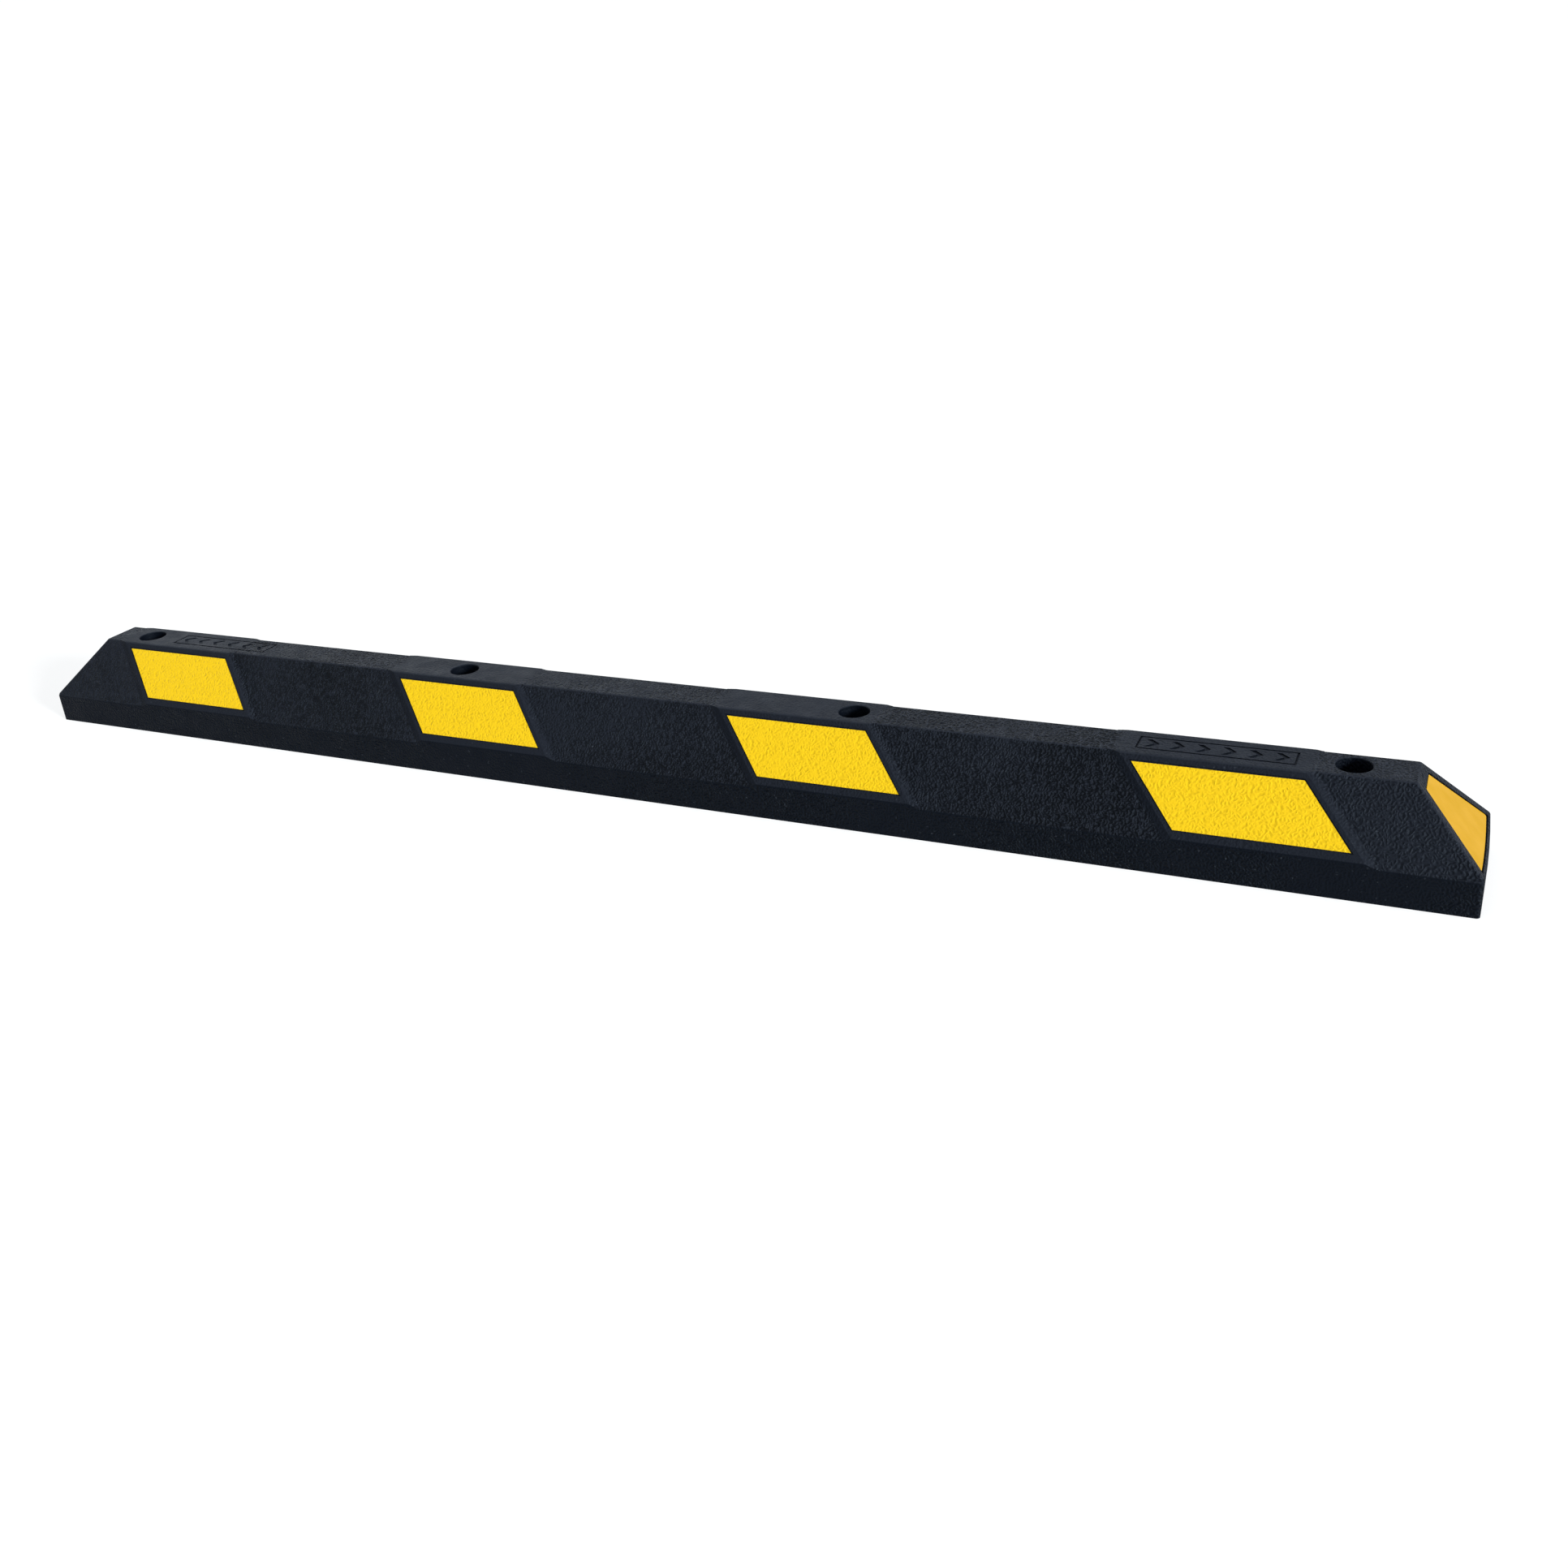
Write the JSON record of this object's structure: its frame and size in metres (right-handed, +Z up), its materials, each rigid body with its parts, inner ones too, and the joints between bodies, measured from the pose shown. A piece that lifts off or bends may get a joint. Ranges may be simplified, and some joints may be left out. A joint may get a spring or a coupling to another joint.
{
  "type": "parking wheel stop",
  "caption": "Long moulded rubber wheel stop with sloped sides and ends, raised pads that hold slanted yellow reflective tapes, and a line of counterbored anchor holes.",
  "frame": {"origin": "centre of the underside, where the bar stands on the pavement", "axes": "+X along the bar to the right as seen from its front, +Y from front to back, +Z up"},
  "size_m": [1.8288, 0.1524, 0.108],
  "materials": {
    "rubber": "moulded recycled crumb rubber, black with a blue cast, pebbled, semi-matt",
    "side_tape": "golden yellow reflective sheeting, moulded in, with the rubber's orange-peel texture",
    "end_tape": "smooth amber-yellow reflective sheeting"
  },
  "bodies": {
    "root": {"rubber_body": "rubber", "front_tape_1": "side_tape", "front_tape_2": "side_tape", "front_tape_3": "side_tape", "front_tape_4": "side_tape", "back_tape_1": "side_tape", "back_tape_2": "side_tape", "back_tape_3": "side_tape", "back_tape_4": "side_tape", "end_tape_left": "end_tape", "end_tape_right": "end_tape"}
  },
  "joints": []
}
